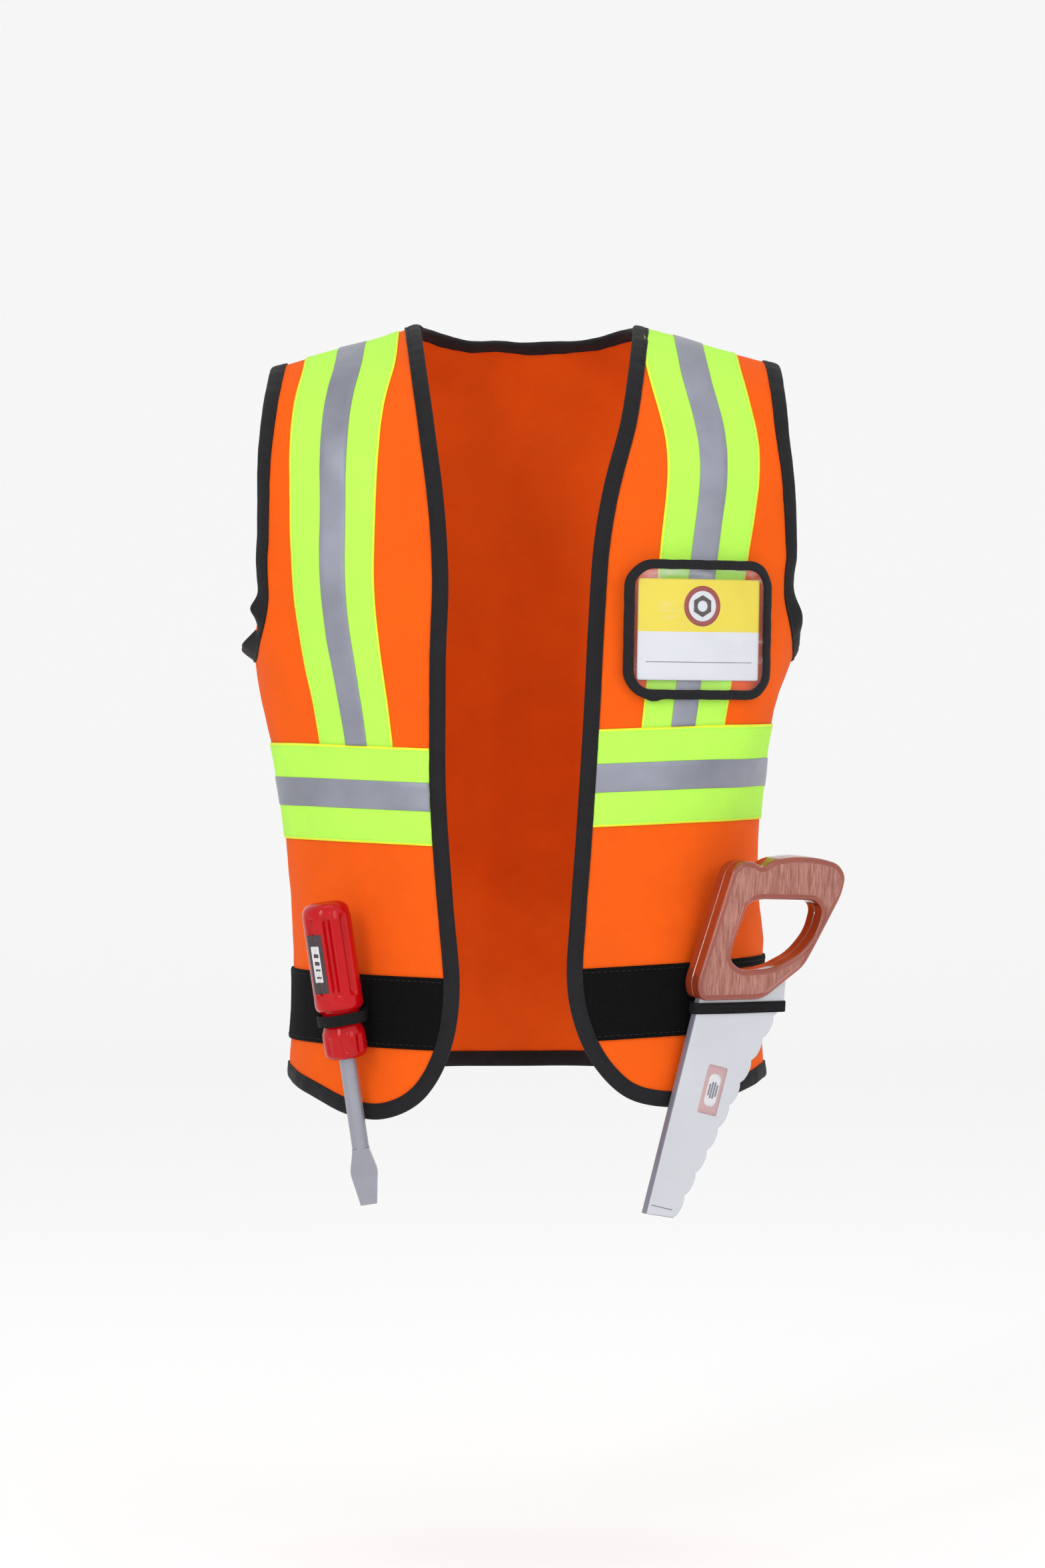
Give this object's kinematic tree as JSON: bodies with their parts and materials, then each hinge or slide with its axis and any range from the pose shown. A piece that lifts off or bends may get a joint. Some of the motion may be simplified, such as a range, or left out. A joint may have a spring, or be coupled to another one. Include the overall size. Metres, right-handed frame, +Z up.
{
  "type": "toy tool belt vest",
  "caption": "Child's high-visibility builder's costume vest with a sewn-on webbing tool belt, elastic loops holding a toy screwdriver and toy saw, and a clear badge pocket.",
  "frame": {"origin": "middle of the neck opening on the line of the shoulder seams, where the wearer's shoulders carry the vest", "axes": "+Z up along the vest's length, -Y out of the vest's front, +X towards the wearer's left, on the viewer's right"},
  "size_m": [0.3186, 0.1991, 0.476],
  "materials": {
    "orange_cloth": "matte",
    "lime_tape": "matte",
    "silver_reflective": "satin",
    "black_binding": "matte",
    "black_webbing": "matte",
    "black_elastic": "matte",
    "clear_vinyl": "gloss",
    "badge_card": "satin",
    "red_plastic": "gloss",
    "grey_plastic": "satin",
    "blade_grey_plastic": "satin",
    "woodgrain_plastic": "satin",
    "label": "satin",
    "screw_steel": "satin"
  },
  "bodies": {
    "vest": {"back_belt_webbing": "black_webbing", "back_chest_reflector": "silver_reflective", "back_chest_tape": "lime_tape", "back_hem_binding": "black_binding", "back_left_shoulder_reflector": "silver_reflective", "back_left_shoulder_tape": "lime_tape", "back_panel": "orange_cloth", "back_right_shoulder_reflector": "silver_reflective", "back_right_shoulder_tape": "lime_tape", "badge_pocket_binding": "black_binding", "badge_window": "clear_vinyl", "left_armhole_back_binding": "black_binding", "left_armhole_front_binding": "black_binding", "left_chest_reflector": "silver_reflective", "left_chest_tape": "lime_tape", "left_front_binding": "black_binding", "left_front_panel": "orange_cloth", "left_shoulder_reflector": "silver_reflective", "left_shoulder_tape": "lime_tape", "neck_binding": "black_binding", "right_armhole_back_binding": "black_binding", "right_armhole_front_binding": "black_binding", "right_chest_reflector": "silver_reflective", "right_chest_tape": "lime_tape", "right_front_binding": "black_binding", "right_front_panel": "orange_cloth", "right_shoulder_reflector": "silver_reflective", "right_shoulder_tape": "lime_tape"},
    "right_front_flap": {"right_front_flap": "orange_cloth", "right_flap_binding": "black_binding", "right_belt_webbing": "black_webbing", "screwdriver_loop": "black_elastic"},
    "left_front_flap": {"left_front_flap": "orange_cloth", "left_flap_binding": "black_binding", "left_belt_webbing": "black_webbing", "saw_loop": "black_elastic"},
    "screwdriver": {"screwdriver_handle": "red_plastic", "screwdriver_shaft": "grey_plastic", "screwdriver_label": "label"},
    "saw": {"saw_handle_front": "woodgrain_plastic", "saw_handle_back": "woodgrain_plastic", "saw_blade": "blade_grey_plastic", "saw_label": "label", "saw_screws": "screw_steel"},
    "badge_card": {"badge_card": "badge_card"}
  },
  "joints": [
    {"name": "right_front_flap_swing", "type": "hinge", "parent": "vest", "child": "right_front_flap", "pos_m": [-0.1312, 0, -0.35], "axis": [0, 0, -1], "range_deg": [0, 35]},
    {"name": "left_front_flap_swing", "type": "hinge", "parent": "vest", "child": "left_front_flap", "pos_m": [0.1288, 0, -0.35], "axis": [0, 0, 1], "range_deg": [0, 35]},
    {"name": "screwdriver_slide", "type": "slide", "parent": "right_front_flap", "child": "screwdriver", "axis": [-0.1442, -0.0518, 0.9882], "range_m": [0, 0.105]},
    {"name": "saw_slide", "type": "slide", "parent": "left_front_flap", "child": "saw", "axis": [0.2448, 0.0435, 0.9686], "range_m": [0, 0.115]},
    {"name": "badge_card_slide", "type": "slide", "parent": "vest", "child": "badge_card", "axis": [0.0168, -0.0364, 0.9992], "range_m": [0, 0.06]}
  ]
}
